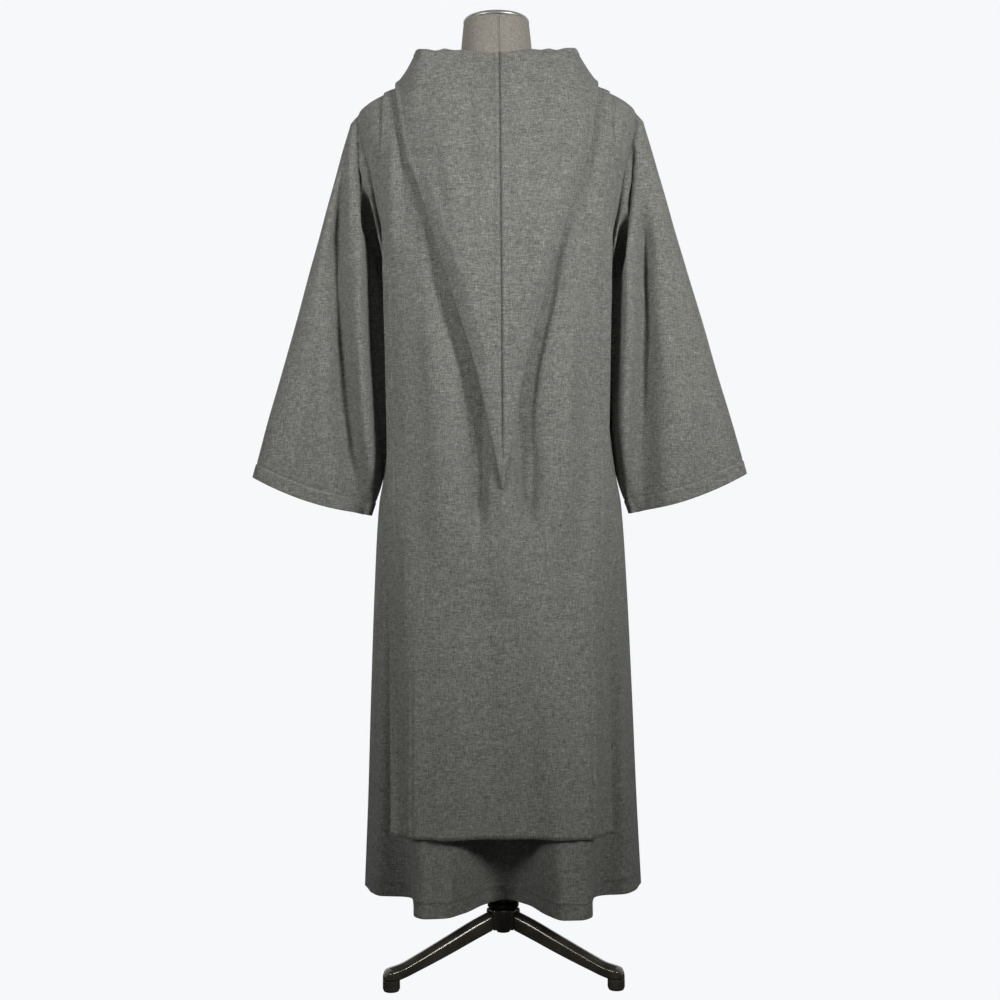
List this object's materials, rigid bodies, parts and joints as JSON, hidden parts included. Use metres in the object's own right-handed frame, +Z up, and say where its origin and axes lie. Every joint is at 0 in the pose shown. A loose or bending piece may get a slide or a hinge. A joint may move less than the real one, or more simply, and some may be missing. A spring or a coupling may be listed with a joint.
{
  "type": "monk habit on dress form",
  "caption": "Grey wool monk habit: ankle-length tunic with wide bell sleeves, long scapular and pointed hood down the back, on a limbless dress form with a tripod stand.",
  "frame": {"origin": "floor level, under the middle of the part's bounding box", "axes": "+Z up the stand, -Y the way the wearer faces, +Y the side the hood hangs on, +X the wearer's left"},
  "size_m": [0.902, 0.4048, 1.733],
  "materials": {
    "wool": "matt heathered wool",
    "linen": "matt linen",
    "cap_metal": "satin",
    "dark_bronze": "gloss",
    "collar_black": "satin",
    "foot_rubber": "matt"
  },
  "bodies": {
    "root": {"tunic_back": "wool", "tunic_front": "wool", "sleeve_left": "wool", "sleeve_right": "wool", "scapular_back": "wool", "scapular_front": "wool", "hood_left": "wool", "hood_right": "wool", "form_torso": "linen", "neck_cap": "cap_metal", "pole": "dark_bronze", "hub": "dark_bronze", "leg_1": "dark_bronze", "leg_2": "dark_bronze", "leg_3": "dark_bronze", "hub_collar": "collar_black", "foot_pad_1": "foot_rubber", "foot_pad_2": "foot_rubber", "foot_pad_3": "foot_rubber"}
  },
  "joints": []
}
